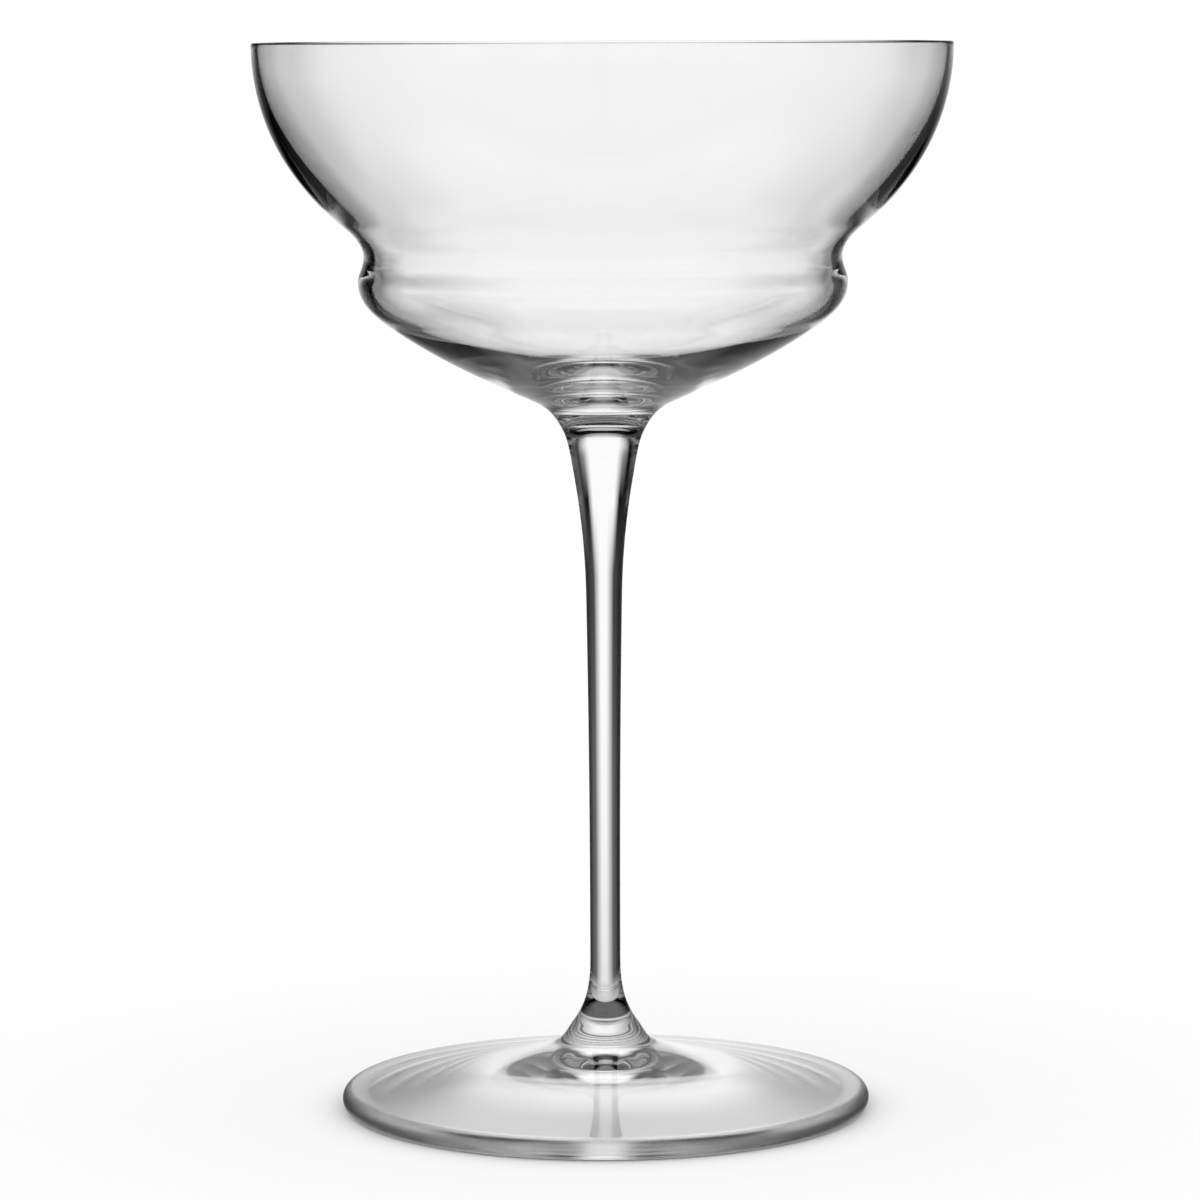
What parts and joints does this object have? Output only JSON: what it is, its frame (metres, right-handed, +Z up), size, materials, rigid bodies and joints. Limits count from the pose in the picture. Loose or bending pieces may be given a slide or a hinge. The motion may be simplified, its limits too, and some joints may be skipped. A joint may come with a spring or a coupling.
{
  "type": "coupe glass",
  "caption": "Clear stemmed coupe glass: a wide open cup over a waisted, cone-bottomed belly, on a slender drawn stem and a round foot, for serving cocktails or sparkling wine.",
  "frame": {"origin": "middle of the ring that the foot stands on, on the table", "axes": "+Z up the glass's axis of turning; +X and +Y are free, because the glass is round"},
  "size_m": [0.098, 0.098, 0.151],
  "materials": {
    "bowl_glass": "clear, fire polished",
    "stem_glass": "clear, fire polished",
    "foot_glass": "clear, fire polished"
  },
  "bodies": {
    "root": {"bowl": "bowl_glass", "stem": "stem_glass", "foot": "foot_glass"}
  },
  "joints": []
}
